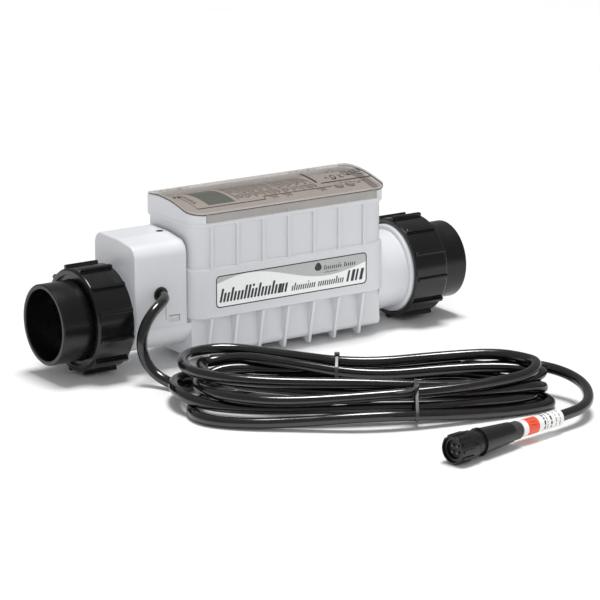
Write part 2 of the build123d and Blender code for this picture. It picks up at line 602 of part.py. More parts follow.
def coil_layer(outline, z0, z1):
    """Slab with the outline that the coil's strands have at that height."""
    return Pos(0, 0, z0) * extrude(make_face(Spline(*outline, periodic=True)), z1 - z0)


def cord_coil():
    low = coil_layer(COIL_LOW_OUTLINE, 0, COIL_SPLIT)
    return low + coil_layer(COIL_HIGH_OUTLINE, COIL_SPLIT, COIL_TOP)


def cable_tie(x, y, heading, reach, z0, z1):
    """Flat strap round a bundle of strands, with its square lock."""
    band = Box(4.0, reach, z1 - z0) - Box(5.0, reach - 2.4, z1 - z0 - 2.4)
    lock = Pos(0, reach / 2 - 4, (z1 - z0) / 2 + 1.2) * Box(5.0, 6.0, 3.6)
    return Pos(x, y, (z0 + z1) / 2) * Rot(0, 0, heading) * (band + lock)


def connector_plane(along):
    origin = Vector(*CONNECTOR_FACE) + Vector(*CONNECTOR_AXIS) * along
    return Plane(origin=origin, z_dir=CONNECTOR_AXIS)


def turned(profile):
    """Turned piece on the connector's axis from (distance from its face, radius) points."""
    face = make_face(Polyline(*[(r, z) for z, r in profile], close=True))
    return connector_plane(0) * revolve(Plane.XZ * face, Axis.Z, 360)


def coupling_ring():
    """Ring with broad grip ribs, and three round lugs behind them."""
    bore = NECK_R + 0.3
    ring = turned([(0, bore), (0, RING_R - 0.8), (0.6, RING_R - 0.2), (RING_RIB_END, RING_R),
                   (RING_LENGTH - 1, RING_R), (RING_LENGTH, RING_R - 0.8), (RING_LENGTH, bore)])
    ribs = []
    for i in range(12):
        rib = Pos(RING_R, 0, RING_RIB_END / 2 + 0.5) * Box(1.6, 2.6, RING_RIB_END - 3)
        ribs.append(connector_plane(0) * Rot(0, 0, 30 * i) * rib)
    for i in range(3):
        lug = Pos(RING_R, 0, (RING_RIB_END + RING_LENGTH) / 2) * Cylinder(2.2, 1.8, rotation=(0, 90, 0))
        ribs.append(connector_plane(0) * Rot(0, 0, 120 * i + 40) * lug)
    return ring + ribs


def connector_shell():
    """Handle of the connector: the ring runs on its neck, held by a low flange."""
    stop = RING_LENGTH + 0.4
    profile = [(2, 7.6), (2, NECK_R), (stop, NECK_R), (stop, NECK_R + 0.9), (stop + 1.2, NECK_R + 0.9)]
    profile += [(stop + 1.2, NECK_R), (NECK_END, NECK_R), (NECK_END, RING_R), (NECK_END + 1.6, RING_R)]
    profile += [(NECK_END + 1.6, 10.5), (SHELL_END, 8.2), (SHELL_END, CORD_R), (26, CORD_R), (26, 7.6)]
    return turned(profile)


def connector_insert():
    core = turned([(5, 0), (5, 7.6), (25.9, 7.6), (25.9, 0)])
    for i in range(4):
        pin = Rot(0, 0, 90 * i + 45) * Pos(3.6, 0, 10) * Cylinder(0.8, 20)
        core -= connector_plane(0) * pin
    return core


def connector_pins():
    pins = []
    for i in range(4):
        pin = Rot(0, 0, 90 * i + 45) * Pos(3.6, 0, 11.5) * Cylinder(0.8, 17)
        pins.append(connector_plane(0) * pin)
    return many(pins)


def cylinder_on_axis(r_out, r_in, along0, along1):
    return turned([(along0, r_in), (along0, r_out), (along1, r_out), (along1, r_in)])


def write_unions():
    for side, name, phase in ((-1, "inlet", INLET_RIB_PHASE), (1, "outlet", OUTLET_RIB_PHASE)):
        save(f"{name}_tailpiece", tailpiece(side))
        save(f"{name}_nut", union_nut(side, phase))
        save(f"{name}_oring", oring(side))


def write_cell():
    save("cell_body", cell_body())
    save("electrode_plates", electrode_plates())
    save("plate_comb_inlet", plate_comb(-56.0, -48.0, -50.0, -47.0))
    save("plate_comb_outlet", plate_comb(77.0, 85.0, 76.0, 79.0))
    save("anode_bus_bar", bus_bar(ANODE_X))
    save("cathode_bus_bar", bus_bar(CATHODE_X))
    save("terminal_studs", terminal_studs())
    save("terminal_nuts", many(hex_nut(3.0, 10.0, BAY_Z, BAY_Z + 5, x, 0) for x in (ANODE_X, CATHODE_X)))
    save("water_sensor", water_sensor())
    save("chamber_cover", chamber_cover())
    save("chamber_gasket", chamber_gasket())
    save("chamber_screws", many(screw(1.3, AX + 25, BAY_Z, 2.7, 2.0, x, y)
                                for x, y in chamber_screw_places()))
    save("front_label", front_label())


def write_controls():
    save("control_bezel", control_bezel())
    save("bezel_gasket", bezel_gasket())
    save("control_deck", control_deck())
    save("panel_overlay", panel_overlay())
    save("deck_screws", deck_screws())
    save("screw_washers", screw_washers())
    save("control_board", control_board())
    save("board_components", board_components())
    save("board_screws", many(screw(1.1, BOARD_Z - 8, BOARD_Z + BOARD_THICK, 2.2, 1.6, x, y)
                              for x, y in BOARD_POSTS))
    save("button_switches", button_switches())
    save("led_lenses", led_lenses())
    save("less_button", button(BUTTON_XS[0]))
    save("more_button", button(BUTTON_XS[1]))
    save("lid", lid())
    save("lid_hinge_pins", lid_hinge_pins())


def write_flow_switch():
    save("flow_switch_cover", flow_switch_cover())
    save("flow_switch_body", flow_switch_body())
    save("flow_switch_oring", oring_seat())
    save("reed_switch", post(1.3, AX + 25, AX + 38, SWITCH_X + 3.5, 0))
    save("flow_paddle", flow_paddle())
    save("paddle_magnet", rod_y(1.5, -1.45, 1.45, SWITCH_X, PADDLE_Z - 7))
    save("paddle_pin", rod_y(PADDLE_PIN_R, -SWITCH_R + 0.5, SWITCH_R - 0.5, SWITCH_X, PADDLE_Z))
    save("cover_screw", screw(1.5, AX + 45, AX + 63.9, 3.0, 1.2, COVER_SCREW_X, 0))
    save("cable_grommet", cable_grommet())


def write_cord():
    save("cord_lead", cord_tube("cord_lead", LEAD_ROUTE))
    save("cord_coil", cord_coil())
    save("cord_tail", cord_tube("cord_tail", TAIL_ROUTE))
    save("cable_tie_back", cable_tie(-33.0, -176.0, -37.0, 14.0, 15, 39))
    save("cable_tie_front", cable_tie(-16.0, -262.0, -34.0, 44.0, 1, 36))
    save("cord_tag", cylinder_on_axis(6.6, 5.6, TAG_START, TAG_END))
    save("connector_shell", connector_shell())
    save("connector_collar", cylinder_on_axis(7.4, CORD_R, SHELL_END, COLLAR_END))
    save("connector_insert", connector_insert())
    save("connector_pins", connector_pins())
    save("coupling_ring", coupling_ring())


write_unions()
write_cell()
write_controls()
write_flow_switch()
write_cord()
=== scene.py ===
from math import copysign, cos, exp, hypot, pi, radians, sin

import bmesh
import bpy
import numpy as np
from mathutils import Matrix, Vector
from mathutils.bvhtree import BVHTree


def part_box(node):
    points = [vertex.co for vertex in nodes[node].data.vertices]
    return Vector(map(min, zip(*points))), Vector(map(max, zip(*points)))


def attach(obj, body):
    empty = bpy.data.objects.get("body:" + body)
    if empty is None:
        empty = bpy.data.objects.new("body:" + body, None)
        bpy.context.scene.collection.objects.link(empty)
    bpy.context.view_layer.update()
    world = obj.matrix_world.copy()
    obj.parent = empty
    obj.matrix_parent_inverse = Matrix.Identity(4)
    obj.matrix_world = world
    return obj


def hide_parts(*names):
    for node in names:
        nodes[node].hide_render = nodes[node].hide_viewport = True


# Salt chlorine generator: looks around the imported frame. Metres; sizes named *_MM are millimetres.
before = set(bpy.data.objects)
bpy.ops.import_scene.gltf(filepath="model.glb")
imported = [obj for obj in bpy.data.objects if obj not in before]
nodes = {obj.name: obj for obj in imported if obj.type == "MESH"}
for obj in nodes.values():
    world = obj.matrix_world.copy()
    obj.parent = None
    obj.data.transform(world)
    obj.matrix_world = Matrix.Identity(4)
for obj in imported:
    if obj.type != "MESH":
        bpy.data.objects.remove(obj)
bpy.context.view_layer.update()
MM = 0.001
AXIS_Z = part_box("inlet_nut")[1].z / 2      # height of the water line


def place(x, y, z):
    """Point given in millimetres, as a vector in metres."""
    return Vector((x, y, z)) * MM


# --- camera
LENS_MM = 193.26
CAMERA_SPOT = (-1.4755, -2.2471, 0.7417)
CAMERA_VIEW = (0.54342, 0.80034, -0.25329)


def add_camera():
    lens = bpy.data.cameras.new("camera")
    lens.lens = LENS_MM
    lens.clip_end = 50
    camera = bpy.data.objects.new("camera", lens)
    camera.location = CAMERA_SPOT
    camera.rotation_euler = Vector(CAMERA_VIEW).to_track_quat("-Z", "Y").to_euler()
    bpy.context.scene.collection.objects.link(camera)
    bpy.context.scene.camera = camera


# --- cord: the lead from the grommet, the coil's turns, and the tail to the connector
CORD_MM = 9.0
LEAD_ROUTE = [
    (-112.5, -28.0, 66.3), (-112.5, -40.0, 66.3), (-121.0, -50.0, 65.2), (-133.0, -55.5, 60.4),
    (-142.5, -57.5, 51.0), (-147.5, -58.5, 38.5), (-147.0, -60.0, 25.5), (-143.5, -65.0, 14.5),
    (-138.5, -75.0, 7.6), (-134.5, -88.0, 5.2), (-130.5, -101.0, 4.9),
]
TAIL_ROUTE = [
    (76.0, -240.0, 23.0), (96.0, -250.0, 24.0), (112.0, -266.0, 23.0), (118.5, -288.0, 21.0),
    (116.0, -312.0, 18.0), (104.0, -333.0, 14.5), (86.0, -348.0, 12.6), (62.0, -354.0, 12.1),
    (28.2, -360.9, 12.1), (-9.1, -367.86, 12.1),
]
# Each half turn of the hand-wound coil: where it ends, how far it bows out, how uneven the bow
# is, how far the ties pull its middle in, and how far its middle is lifted off the floor.
HALF_TURNS = [
    ((91, -302, 4.6), 34, 0.0, 12, 0), ((-163, -157, 4.6), 36, 0.6, -20, 9),
    ((84, -290, 10), 52, -0.2, 12, 0), ((-148, -106, 13.6), 62, 0.35, 0, 3),
    ((93, -288, 17), 34, -0.2, 20, 0), ((-118, -101, 22), 56, 0.3, 0, 0),
    ((99, -280, 20), 18, -0.2, 34, 0), ((-138, -103, 31), 54, 0.45, 0, 0),
    ((94, -280, 27), 42, -0.3, 42, -2), ((-137, -125, 17), 66, 0.35, 0, 0),
    ((76, -240, 23), 32, -0.5, 20, 0),
]
STEPS_PER_HALF = 8
LAID_Z_MM = 4.6            # lowest height of the cord's centreline, on the floor
SQUARENESS = 0.8           # below 1 makes each end of the coil blunter than an ellipse
PINCH_AT, PINCH_WIDTH = 0.45, 0.22     # where the ties gather a half turn, as shares of its run
STRAND_GAP = 4             # segments nearer than this along the cord may touch
MOVE_LIMIT_MM = 2.0
SETTLE_ROUNDS = 300


def coil_points():
    """Control points of the coil's half turns, each drawn as one blunt arc, in millimetres."""
    points, start = [], LEAD_ROUTE[-1]
    for end, bulge, skew, pinch, lift in HALF_TURNS:
        span = hypot(end[0] - start[0], end[1] - start[1])
        ahead = ((end[0] - start[0]) / span, (end[1] - start[1]) / span)
        for j in range(1, STEPS_PER_HALF + 1):
            angle = pi * j / STEPS_PER_HALF
            along = (1 - copysign(abs(cos(angle)) ** SQUARENESS, cos(angle))) / 2
            bow = bulge * max(sin(angle), 0.0) ** SQUARENESS * (1 - skew * cos(angle))
            gathered = exp(-(((along - PINCH_AT) / PINCH_WIDTH) ** 2))
            out = bow - pinch * gathered
            rise = along * along * (3 - 2 * along)
            z = start[2] + (end[2] - start[2]) * rise + lift * gathered
            x = start[0] + ahead[0] * span * along - ahead[1] * out
            y = start[1] + ahead[1] * span * along + ahead[0] * out
            points.append((x, y, z))
        start = end
    return points[:-1]


def closest(a, b, c, d):
    """Closest points of many pairs of segments, as shares along each, and the gap between them."""
    u, v, w = b - a, d - c, a - c
    uu, uv, vv = (u * u).sum(1), (u * v).sum(1), (v * v).sum(1)
    uw, vw = (u * w).sum(1), (v * w).sum(1)
    s = np.clip((uv * vw - vv * uw) / (uu * vv - uv * uv + 1e-9), 0, 1)
    t = np.clip((uv * s + vw) / vv, 0, 1)
    s = np.clip((uv * t - uw) / uu, 0, 1)
    return s, t, (a + u * s[:, None]) - (c + v * t[:, None])


def settled(points, head, tail):
    """Pushes strands that lie in each other apart, until they touch side by side."""
    line = np.array(points, float)
    free = np.ones(len(line), bool)
    free[:head] = False
    free[len(line) - tail:] = False
    first, second = np.triu_indices(len(line) - 1, STRAND_GAP)
    for _ in range(SETTLE_ROUNDS):
        s, t, gap = closest(line[first], line[first + 1], line[second], line[second + 1])
        distance = np.linalg.norm(gap, axis=1)
        near = distance < CORD_MM
        if not near.any():
            break
        size = np.maximum(distance[near], 1e-6)
        push = ((CORD_MM - distance[near]) / size)[:, None] * gap[near] * 0.5
        move = np.zeros_like(line)
        i, j, s, t = first[near], second[near], s[near][:, None], t[near][:, None]
        for at, share in ((i, (1 - s)), (i + 1, s), (j, t - 1), (j + 1, -t)):
            np.add.at(move, at, push * share)
        line[free] += np.clip(move[free], -MOVE_LIMIT_MM, MOVE_LIMIT_MM)
        line[free, 2] = np.maximum(line[free, 2], LAID_Z_MM)
    return line


def add_cord():
    """Sweeps the cord along its settled route; gives the piece and its centreline in metres."""
    route = LEAD_ROUTE + coil_points() + TAIL_ROUTE
    line = settled(route, len(LEAD_ROUTE), len(TAIL_ROUTE)) * MM
    curve = bpy.data.curves.new("cord", "CURVE")
    curve.dimensions = "3D"
    spline = curve.splines.new("NURBS")
    spline.points.add(len(line) - 1)
    for point, spot in zip(spline.points, line):
        point.co = (*spot, 1)
    spline.order_u = 3
    spline.use_endpoint_u = True
    spline.resolution_u = 6
    cord = bpy.data.objects.new("cord", curve)
    bpy.context.scene.collection.objects.link(cord)
    bpy.context.view_layer.update()
    bare = bpy.data.meshes.new_from_object(cord)
    centreline = [v.co.copy() for v in bare.vertices]
    bpy.data.meshes.remove(bare)
    curve.bevel_depth = CORD_MM * MM / 2
    curve.bevel_resolution = 6
    curve.use_fill_caps = True
    curve.materials.append(cord_jacket())
    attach(cord, "housing")
    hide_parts("cord_lead", "cord_coil", "cord_tail")
    return cord, centreline


# --- materials
class Nodes:
    """Short names for the shader nodes that the materials share."""

    def __init__(self, name, color, roughness, **sockets):
        self.material = bpy.data.materials.new(name)
        self.material.use_nodes = True
        self.tree = self.material.node_tree
        self.shader = self.tree.nodes["Principled BSDF"]
        self.color = color
        self.shader.inputs["Base Color"].default_value = (*color, 1)
        self.shader.inputs["Roughness"].default_value = roughness
        for socket, value in sockets.items():
            self.shader.inputs[socket.replace("_", " ")].default_value = value
        self.coords = self.tree.nodes.new("ShaderNodeTexCoord").outputs["Object"]

    def add(self, kind, **inputs):
        node = self.tree.nodes.new("ShaderNode" + kind)
        for key, value in inputs.items():
            socket = node.inputs[key.replace("_", " ")]
            if isinstance(value, bpy.types.NodeSocket):
                self.tree.links.new(value, socket)
            else:
                socket.default_value = value
        return node

    def noise(self, scale, detail=3.0, stretch=(1, 1, 1)):
        """Noise with about scale features to the metre."""
        mapped = self.add("Mapping", Vector=self.coords, Scale=stretch).outputs[0]
        return self.add("TexNoise", Vector=mapped, Scale=scale, Detail=detail).outputs["Fac"]

    def span(self, value, low, high, start=0.3, end=0.7):
        """Moves values between start and end to between low and high."""
        node = self.add("MapRange", Value=value, To_Min=low, To_Max=high)
        node.inputs["From Min"].default_value = start
        node.inputs["From Max"].default_value = end
        return node.outputs[0]

    def combine(self, kind, operation, *values):
        """Math or VectorMath node fed by the given sockets."""
        node = self.tree.nodes.new("ShaderNode" + kind)
        node.operation = operation
        for value, socket in zip(values, node.inputs):
            self.tree.links.new(value, socket)
        return node

    def blend(self, share, a, b):
        node = self.tree.nodes.new("ShaderNodeMix")
        node.data_type = "RGBA"
        for socket, value in ((node.inputs[0], share), (node.inputs[6], a), (node.inputs[7], b)):
            if isinstance(value, bpy.types.NodeSocket):
                self.tree.links.new(value, socket)
            elif isinstance(value, tuple):
                socket.default_value = (*value[:3], 1)
            else:
                socket.default_value = value
        return node.outputs[2]

    def shade(self, factor):
        return tuple(min(c * factor, 1.0) for c in self.color)

    def use(self, socket, value):
        self.tree.links.new(value, self.shader.inputs[socket])

    def relief(self, height, depth_mm, under=None):
        node = self.add("Bump", Height=height, Distance=depth_mm * MM)
        if under is not None:
            self.tree.links.new(under, node.inputs["Normal"])
        return node.outputs[0]

    def soft_edges(self, radius_mm):
        node = self.add("Bevel", Radius=radius_mm * MM)
        node.samples = 4
        return node.outputs[0]


def moulded(name, color, roughness, grain=1600, grain_mm=0.012, edge_mm=0.5, mottle=0.03, edge_wear_and_highlight=0.0,
            **sockets):
    """Injection-moulded plastic: fine grain, slow sink waves, uneven gloss and softened edges."""
    n = Nodes(name, color, roughness, **sockets)
    cloud = n.noise(22, 4.0)
    tint = n.blend(n.span(cloud, 0.0, 1.0), n.shade(1 - mottle), n.shade(1 + mottle))
    specks = n.span(n.noise(900, 2.0), 0.0, 1.0, 0.66, 0.74)
    tint = n.blend(specks, tint, n.shade(1 - 1.5 * mottle))
    edges = n.soft_edges(edge_mm)
    # Lighter edges: partly rubbed wear, partly a painted edge highlight.
    if edge_wear_and_highlight:
        flat = n.add("NewGeometry").outputs["Normal"]
        turned = n.combine("VectorMath", "DOT_PRODUCT", flat, edges).outputs["Value"]
        edge_rub_and_highlight = n.span(turned, 1.0, 0.0, 0.86, 0.995)
        scuff_and_highlight = n.combine("Math", "MULTIPLY", edge_rub_and_highlight, n.span(n.noise(260, 5.0), 0.15, 1.0)).outputs[0]
        tint = n.blend(scuff_and_highlight, tint, tuple(min(c + edge_wear_and_highlight, 1.0) for c in color))
    n.use("Base Color", tint)
    n.use("Roughness", n.span(n.noise(60, 5.0), roughness - 0.05, roughness + 0.06))
    waves = n.relief(n.noise(38, 1.0), 0.10, under=edges)
    n.use("Normal", n.relief(n.noise(grain, 2.0), grain_mm, under=waves))
    return n.material


def cord_jacket():
    """Glossy extruded jacket: slow waves, duller patches, and dust."""
    n = Nodes("cord_jacket", (0.004, 0.004, 0.0045), 0.15, Specular_IOR_Level=0.9)
    dust = n.span(n.noise(520, 5.0), 0.0, 0.5, 0.62, 0.85)
    n.use("Base Color", n.blend(dust, (0.003, 0.003, 0.0035), (0.016, 0.016, 0.017)))
    n.use("Roughness", n.span(n.noise(70, 4.0), 0.11, 0.20))
    n.use("Normal", n.relief(n.noise(24, 1.0), 0.05))
    return n.material


def brushed(name, color, roughness, stretch=(1, 1, 1)):
    """Metal with fine lines along X, or speckled where stretch is even."""
    n = Nodes(name, color, roughness, Metallic=1.0)
    lines = n.noise(420, 4.0, stretch)
    n.use("Base Color", n.blend(n.span(n.noise(70, 4.0), 0.0, 1.0), n.shade(0.82), n.shade(1.12)))
    n.use("Roughness", n.span(lines, roughness - 0.08, roughness + 0.12))
    n.use("Normal", n.relief(lines, 0.012, under=n.soft_edges(0.15)))
    return n.material


def smoke_sheet():
    """Clear smoke-tinted acrylic: what is behind shows through, and it reflects at a low angle."""
    n = Nodes("smoke_acrylic", (0.64, 0.625, 0.605), 0.12, IOR=1.6, Specular_IOR_Level=1.0)
    haze = n.span(n.noise(30, 3.0), 0.0, 1.0)
    n.use("Base Color", n.blend(haze, (0.62, 0.605, 0.585), (0.66, 0.645, 0.625)))
    n.use("Roughness", n.span(n.noise(120, 5.0), 0.06, 0.18))
    n.use("Normal", n.relief(n.noise(26, 1.0), 0.04))
    clear = n.add("BsdfTransparent", Color=(0.822, 0.797, 0.776, 1))
    glancing = n.span(n.add("LayerWeight", Blend=0.5).outputs["Facing"], 0.03, 0.78, 0.69, 0.97)
    # Painted light: upright faces, such as the front lip, get more of the milky surface so they show
    # lighter.
    level = n.add("SeparateXYZ", Vector=n.add("NewGeometry").outputs["Normal"]).outputs["Z"]
    level = n.combine("Math", "ABSOLUTE", level).outputs[0]
    painted_lighter_upright = n.span(level, 0.42, 0.0, 0.1, 0.5)
    mix = n.add("MixShader", Fac=n.combine("Math", "MAXIMUM", glancing, painted_lighter_upright).outputs[0])
    n.tree.links.new(clear.outputs[0], mix.inputs[1])
    n.tree.links.new(n.shader.outputs[0], mix.inputs[2])
    n.tree.links.new(mix.outputs[0], n.tree.nodes["Material Output"].inputs["Surface"])
    return n.material


def clear_lens():
    """Clear moulded light pipe."""
    n = Nodes("light_pipe", (0.80, 0.84, 0.80), 0.12, Transmission_Weight=0.6, IOR=1.49)
    n.use("Roughness", n.span(n.noise(500, 3.0), 0.08, 0.2))
    n.use("Normal", n.relief(n.noise(900, 2.0), 0.01, under=n.soft_edges(0.2)))
    return n.material


def glass_tube():
    """Drawn glass of the reed switch."""
    n = Nodes("reed_glass", (0.75, 0.9, 0.82), 0.05, Transmission_Weight=0.9, IOR=1.5)
    n.use("Roughness", n.span(n.noise(700, 3.0), 0.03, 0.1))
    return n.material


def film(name, color, roughness):
    """Printed polyester film: a faint weave of ink dots and an uneven clear coat."""
    n = Nodes(name, color, roughness)
    dots = n.span(n.noise(2600, 1.0), 0.0, 1.0, 0.35, 0.65)
    n.use("Base Color", n.blend(dots, n.shade(0.975), n.shade(1.02)))
    n.use("Roughness", n.span(n.noise(45, 4.0), roughness - 0.04, roughness + 0.05))
    n.use("Normal", n.relief(n.noise(55, 2.0), 0.03, under=n.soft_edges(0.15)))
    return n.material


def board_mask():
    """Green solder mask with faint tracks."""
    n = Nodes("solder_mask", (0.012, 0.11, 0.045), 0.32, Coat_Weight=0.3)
    grid = n.add("TexBrick", Vector=n.coords, Scale=160.0)
    grid.inputs["Color1"].default_value = (0.010, 0.10, 0.04, 1)
    grid.inputs["Color2"].default_value = (0.014, 0.13, 0.055, 1)
    grid.inputs["Mortar"].default_value = (0.03, 0.2, 0.09, 1)
    grid.inputs["Mortar Size"].default_value = 0.03
    n.use("Base Color", grid.outputs["Color"])
    n.use("Roughness", n.span(n.noise(200, 3.0), 0.26, 0.4))
    n.use("Normal", n.relief(grid.outputs["Fac"], 0.03))
    return n.material


def rubbery(name, color, roughness):
    """Matt rubber with a little dust in its grain."""
    n = Nodes(name, color, roughness, Sheen_Weight=0.15, Sheen_Roughness=0.5)
    dust = n.span(n.noise(600, 4.0), 0.0, 1.0, 0.55, 0.8)
    n.use("Base Color", n.blend(dust, color, tuple(c + 0.04 for c in color)))
    n.use("Roughness", n.span(n.noise(120, 4.0), roughness - 0.08, roughness + 0.08))
    n.use("Normal", n.relief(n.noise(2200, 2.0), 0.02, under=n.soft_edges(0.3)))
    return n.material


def ink(name, color, roughness=0.45):
    """Screen-printed ink."""
    n = Nodes(name, color, roughness)
    grain = n.span(n.noise(1800, 2.0), 0.0, 1.0)
    n.use("Base Color", n.blend(grain, n.shade(0.9), n.shade(1.08)))
    n.use("Roughness", n.span(n.noise(300, 3.0), roughness - 0.05, roughness + 0.08))
    return n.material


def floor_paint():
    """Pale paper sweep."""
    n = Nodes("paper_sweep", (0.90, 0.90, 0.90), 0.55, Specular_IOR_Level=0.3)
    n.use("Base Color", n.blend(n.noise(3.0, 2.0), (0.895, 0.895, 0.892), (0.905, 0.905, 0.905)))
    n.use("Roughness", n.span(n.noise(8, 3.0), 0.5, 0.6))
    return n.material


BODY_GREY = (0.70, 0.712, 0.738)
paint = {
    "body": moulded("body_grey_plastic", BODY_GREY, 0.36, grain=2100, grain_mm=0.008, edge_mm=0.7,
                    mottle=0.012, Coat_Weight=0.12, Coat_Roughness=0.25),
    "cover": moulded("cover_grey_plastic", tuple(c * 1.01 for c in BODY_GREY), 0.33, grain=2100,
                     grain_mm=0.007, edge_mm=0.8, mottle=0.012, Coat_Weight=0.15, Coat_Roughness=0.2),
    "inner": moulded("inner_plastic", (0.52, 0.53, 0.54), 0.5, mottle=0.03),
    "union": moulded("union_black_plastic", (0.004, 0.004, 0.0045), 0.20, grain=1300, grain_mm=0.010,
                     edge_mm=0.6, mottle=0.18, edge_wear_and_highlight=0.02, Specular_IOR_Level=0.5),
    "tail": moulded("tailpiece_black_plastic", (0.004, 0.004, 0.0045), 0.27, grain=1500, grain_mm=0.014,
                    edge_mm=0.6, mottle=0.18, edge_wear_and_highlight=0.04, Specular_IOR_Level=0.42),
    "black": moulded("black_plastic", (0.006, 0.006, 0.0065), 0.30, grain=2300, grain_mm=0.010,
                     edge_mm=0.35, mottle=0.2, edge_wear_and_highlight=0.03),
    "insert": moulded("insert_plastic", (0.014, 0.013, 0.014), 0.5, edge_mm=0.25, mottle=0.2),
    "strap": moulded("strap_nylon", (0.045, 0.045, 0.047), 0.30, grain=1900, edge_mm=0.2, mottle=0.15),
    "rubber": rubbery("black_rubber", (0.022, 0.022, 0.022), 0.62),
    "button": rubbery("button_rubber", (0.60, 0.595, 0.59), 0.6),
    "label": film("label_film", (0.95, 0.955, 0.96), 0.30),
    "overlay": film("overlay_film", (0.74, 0.73, 0.735), 0.4),
    "tag": film("tag_film", (0.84, 0.84, 0.83), 0.35),
    "deck": moulded("deck_plastic", (0.70, 0.70, 0.70), 0.45, mottle=0.03),
    "board": board_mask(),
    "smoke": smoke_sheet(),
    "lens": clear_lens(),
    "reed": glass_tube(),
    "titanium": brushed("titanium_coated", (0.34, 0.33, 0.32), 0.45, (1, 10, 10)),
    "steel": brushed("stainless_steel", (0.60, 0.60, 0.61), 0.28),
    "brass": brushed("tinned_brass", (0.72, 0.56, 0.28), 0.25),
    "pin": brushed("dull_contact_brass", (0.22, 0.15, 0.10), 0.42),
    "magnet": brushed("magnet_nickel", (0.30, 0.30, 0.31), 0.35),
    "print_dark": ink("print_dark", (0.030, 0.030, 0.034)),
    "print_black": ink("print_black", (0.012, 0.012, 0.013), 0.6),
    "print_grey": ink("print_grey", (0.52, 0.53, 0.525)),
    "print_green": ink("print_green", (0.20, 0.255, 0.24)),
    "print_brown": ink("print_brown", (0.055, 0.045, 0.04)),
    # painted shade: near-black ink for the strip under the lid's edge
    "rim": ink("lid_edge_painted_shade_ink", (0.030, 0.025, 0.021), 0.25),
    "blackened": brushed("blackened_steel", (0.05, 0.05, 0.052), 0.42),
    "print_orange": ink("print_orange", (0.80, 0.09, 0.035), 0.35),
    "print_amber": ink("print_amber", (0.85, 0.33, 0.03), 0.35),
}
NODE_PAINT = {
    "body": ["cell_body", "control_bezel"],
    "cover": ["flow_switch_cover"],
    "inner": ["chamber_cover", "plate_comb_inlet", "plate_comb_outlet", "flow_paddle"],
    "union": ["inlet_nut", "outlet_nut"],
    "tail": ["inlet_tailpiece", "outlet_tailpiece"],
    "black": ["connector_shell", "coupling_ring", "board_components", "button_switches",
              "flow_switch_body"],
    "insert": ["connector_insert"],
    "rubber": ["inlet_oring", "outlet_oring", "chamber_gasket", "bezel_gasket", "flow_switch_oring",
               "cable_grommet", "connector_collar"],
    "button": ["less_button", "more_button"],
    "label": ["front_label"],
    "overlay": ["panel_overlay"],
    "tag": ["cord_tag"],
    "deck": ["control_deck"],
    "board": ["control_board"],
    "smoke": ["lid"],
    "lens": ["led_lenses"],
    "reed": ["reed_switch"],
    "titanium": ["electrode_plates", "anode_bus_bar", "cathode_bus_bar", "terminal_studs"],
    "steel": ["terminal_nuts", "chamber_screws", "deck_screws", "screw_washers", "board_screws",
              "lid_hinge_pins", "paddle_pin"],
    "blackened": ["cover_screw"],
    "brass": ["water_sensor"],
    "pin": ["connector_pins"],
    "magnet": ["paddle_magnet"],
}


def paint_nodes():
    for finish, names in NODE_PAINT.items():
        for name in names:
            for holder in nodes[name].material_slots:
                holder.material = paint[finish]


# --- building pieces
SMOOTH_DEG = 35            # sharper bends than this keep a hard edge


def join_rings(bm, rings):
    """Skins a run of vertex loops of equal length."""
    for a, b in zip(rings, rings[1:]):
        for i in range(len(a)):
            j = (i + 1) % len(a)
            bm.faces.new((a[i], a[j], b[j], b[i]))


def cap_ends(bm, rings):
    bm.faces.new(rings[0])
    bm.faces.new(rings[-1])


def finish_piece(name, bm, body, material):
    """Turns the bmesh into a named piece that rides on a body."""
    bmesh.ops.recalc_face_normals(bm, faces=bm.faces)
    mesh = bpy.data.meshes.new(name)
    bm.to_mesh(mesh)
    bm.free()
    mesh.materials.append(material)
    mesh.polygons.foreach_set("use_smooth", [True] * len(mesh.polygons))
    mesh.set_sharp_from_angle(angle=radians(SMOOTH_DEG))
    piece = bpy.data.objects.new(name, mesh)
    bpy.context.scene.collection.objects.link(piece)
    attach(piece, body)
    return piece


def add_plate(bm, outline, spot, thick_mm):
    """Closed thin plate: outline points (u, v) in millimetres, put in place by spot(u, v, height)."""
    rings = [[bm.verts.new(spot(u, v, height)) for u, v in outline] for height in (0, thick_mm)]
    cap_ends(bm, rings)
    join_rings(bm, rings)


def add_band(bm, path, width, spot, thick_mm, step=3.0):
    """Closed ribbon of one width along a path of (u, v) points, cut short enough to follow a curve."""
    line = [Vector(path[0])]
    for end in path[1:]:
        start, end = line[-1], Vector(end)
        count = max(1, round((end - start).length / step))
        line += [start.lerp(end, (i + 1) / count) for i in range(count)]
    rows = []
    for i, here in enumerate(line):
        ahead = (line[min(i + 1, len(line) - 1)] - line[max(i - 1, 0)]).normalized()
        side = Vector((-ahead.y, ahead.x)) * width / 2
        corners = [(here + side, 0), (here - side, 0), (here - side, thick_mm), (here + side, thick_mm)]
        rows.append([bm.verts.new(spot(p.x, p.y, h)) for p, h in corners])
    join_rings(bm, rows)
    cap_ends(bm, rows)


def rounded(u0, u1, v0, v1, radius, steps):
    """Outline of a rectangle with round corners."""
    outline = []
    centres = ((u1 - radius, v1 - radius), (u0 + radius, v1 - radius),
               (u0 + radius, v0 + radius), (u1 - radius, v0 + radius))
    for turn, (cu, cv) in enumerate(centres):
        for i in range(steps + 1):
            angle = pi / 2 * (turn + i / steps)
            outline.append((cu + radius * cos(angle), cv + radius * sin(angle)))
    return outline


LEAN = 0.24                # slant of the label's printed marks


def leaning(outline):
    return [(u + v * LEAN, v) for u, v in outline]


